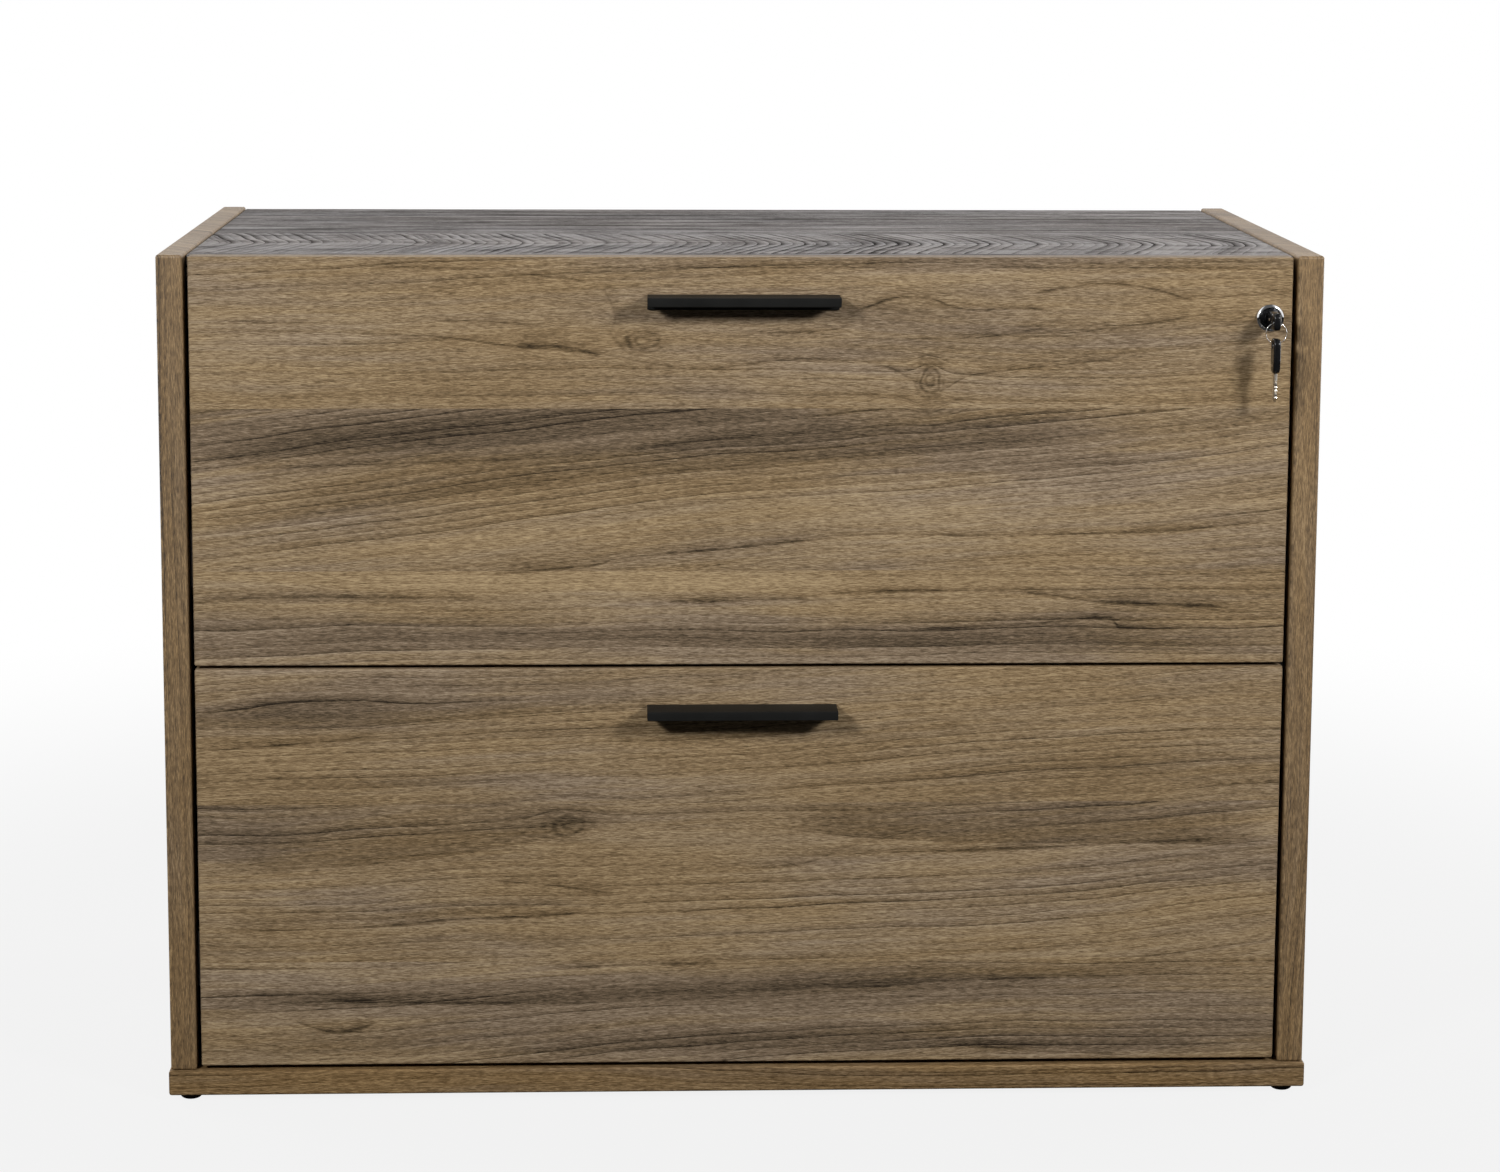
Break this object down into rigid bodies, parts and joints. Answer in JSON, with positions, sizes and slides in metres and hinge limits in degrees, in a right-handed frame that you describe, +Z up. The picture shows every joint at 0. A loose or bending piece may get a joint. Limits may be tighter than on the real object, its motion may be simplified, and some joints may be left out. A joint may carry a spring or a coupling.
{
  "type": "office drawer unit",
  "caption": "Low wide filing unit with stacked drawers on ball runners in a panel case, ledge pulls, and a keyed gang lock that holds the drawers shut.",
  "frame": {"origin": "on the floor, under the centre of the whole unit's box", "axes": "+Z up, drawers open towards -Y, +X to the right as seen from the front"},
  "size_m": [0.9144, 0.4912, 0.6811],
  "materials": {
    "walnut_laminate": "matt walnut woodgrain laminate",
    "charcoal_laminate": "matt charcoal woodgrain laminate",
    "drawer_board": "plain grey-beige laminated board",
    "black_metal": "matt black powder coat",
    "black_plastic": "moulded black plastic",
    "zinc_steel": "bright zinc-plated steel",
    "chrome": "bright nickel or chrome plate",
    "aluminium": "satin extruded aluminium"
  },
  "bodies": {
    "case": {"left_side_panel": "walnut_laminate", "right_side_panel": "walnut_laminate", "top_panel": "charcoal_laminate", "base_panel": "walnut_laminate", "back_panel": "drawer_board", "lock_bar_guide": "zinc_steel", "glide_front_left": "black_plastic", "glide_front_right": "black_plastic", "glide_rear_left": "black_plastic", "glide_rear_right": "black_plastic", "top_left_cabinet_rail": "zinc_steel", "top_right_cabinet_rail": "zinc_steel", "bottom_left_cabinet_rail": "zinc_steel", "bottom_right_cabinet_rail": "zinc_steel"},
    "top_drawer": {"top_drawer_front": "walnut_laminate", "top_handle": "black_metal", "top_box_left_side": "drawer_board", "top_box_right_side": "drawer_board", "top_box_front": "drawer_board", "top_box_back": "drawer_board", "top_box_bottom": "drawer_board", "top_front_file_rail": "aluminium", "top_back_file_rail": "aluminium", "top_lock_catch": "zinc_steel", "top_left_drawer_rail": "zinc_steel", "top_right_drawer_rail": "zinc_steel", "lock_housing": "chrome", "lock_nut": "zinc_steel"},
    "bottom_drawer": {"bottom_drawer_front": "walnut_laminate", "bottom_handle": "black_metal", "bottom_box_left_side": "drawer_board", "bottom_box_right_side": "drawer_board", "bottom_box_front": "drawer_board", "bottom_box_back": "drawer_board", "bottom_box_bottom": "drawer_board", "bottom_front_file_rail": "aluminium", "bottom_back_file_rail": "aluminium", "bottom_lock_catch": "zinc_steel", "bottom_left_drawer_rail": "zinc_steel", "bottom_right_drawer_rail": "zinc_steel"},
    "top_outer_cages": {"top_left_outer_cage": "zinc_steel", "top_right_outer_cage": "zinc_steel"},
    "top_middle_rails": {"top_left_middle_rail": "zinc_steel", "top_right_middle_rail": "zinc_steel"},
    "top_inner_cages": {"top_left_inner_cage": "zinc_steel", "top_right_inner_cage": "zinc_steel"},
    "bottom_outer_cages": {"bottom_left_outer_cage": "zinc_steel", "bottom_right_outer_cage": "zinc_steel"},
    "bottom_middle_rails": {"bottom_left_middle_rail": "zinc_steel", "bottom_right_middle_rail": "zinc_steel"},
    "bottom_inner_cages": {"bottom_left_inner_cage": "zinc_steel", "bottom_right_inner_cage": "zinc_steel"},
    "key": {"lock_plug": "chrome", "lock_cam": "zinc_steel", "key_blade": "chrome", "key_head": "black_plastic", "key_ring": "chrome"},
    "spare_key": {"spare_key_head": "black_plastic", "spare_key_blade": "chrome"},
    "lock_bar": {"lock_bar": "zinc_steel"}
  },
  "joints": [
    {"name": "top_drawer_slide", "type": "slide", "parent": "case", "child": "top_drawer", "axis": [0, -1, 0], "range_m": [0, 0.38]},
    {"name": "top_outer_cage_slide", "type": "slide", "parent": "case", "child": "top_outer_cages", "axis": [0, -1, 0], "range_m": [0, 0.0955]},
    {"name": "top_middle_rail_slide", "type": "slide", "parent": "case", "child": "top_middle_rails", "axis": [0, -1, 0], "range_m": [0, 0.1905]},
    {"name": "top_inner_cage_slide", "type": "slide", "parent": "case", "child": "top_inner_cages", "axis": [0, -1, 0], "range_m": [0, 0.2855]},
    {"name": "bottom_drawer_slide", "type": "slide", "parent": "case", "child": "bottom_drawer", "axis": [0, -1, 0], "range_m": [0, 0.38]},
    {"name": "bottom_outer_cage_slide", "type": "slide", "parent": "case", "child": "bottom_outer_cages", "axis": [0, -1, 0], "range_m": [0, 0.0955]},
    {"name": "bottom_middle_rail_slide", "type": "slide", "parent": "case", "child": "bottom_middle_rails", "axis": [0, -1, 0], "range_m": [0, 0.1905]},
    {"name": "bottom_inner_cage_slide", "type": "slide", "parent": "case", "child": "bottom_inner_cages", "axis": [0, -1, 0], "range_m": [0, 0.2855]},
    {"name": "key_turn", "type": "hinge", "parent": "top_drawer", "child": "key", "pos_m": [0.4134, -0.2114, 0.6325], "axis": [0, 1, 0], "range_deg": [0, 90.5]},
    {"name": "spare_key_hang", "type": "hinge", "parent": "key", "child": "spare_key", "pos_m": [0.4134, -0.2386, 0.62355], "axis": [0, 1, 0], "range_deg": [-90.5, 0.5]},
    {"name": "lock_bar_lift", "type": "slide", "parent": "case", "child": "lock_bar", "axis": [0, 0, 1], "range_m": [0, 0.01]}
  ],
  "couplings": [
    {"joint": "top_outer_cage_slide", "follows": "top_drawer_slide", "ratio": 0.25},
    {"joint": "top_middle_rail_slide", "follows": "top_drawer_slide", "ratio": 0.5},
    {"joint": "top_inner_cage_slide", "follows": "top_drawer_slide", "ratio": 0.75},
    {"joint": "bottom_outer_cage_slide", "follows": "bottom_drawer_slide", "ratio": 0.25},
    {"joint": "bottom_middle_rail_slide", "follows": "bottom_drawer_slide", "ratio": 0.5},
    {"joint": "bottom_inner_cage_slide", "follows": "bottom_drawer_slide", "ratio": 0.75},
    {"joint": "key_turn", "follows": "lock_bar_lift", "rad_per_m": 157.08},
    {"joint": "spare_key_hang", "follows": "lock_bar_lift", "rad_per_m": -157.08}
  ]
}
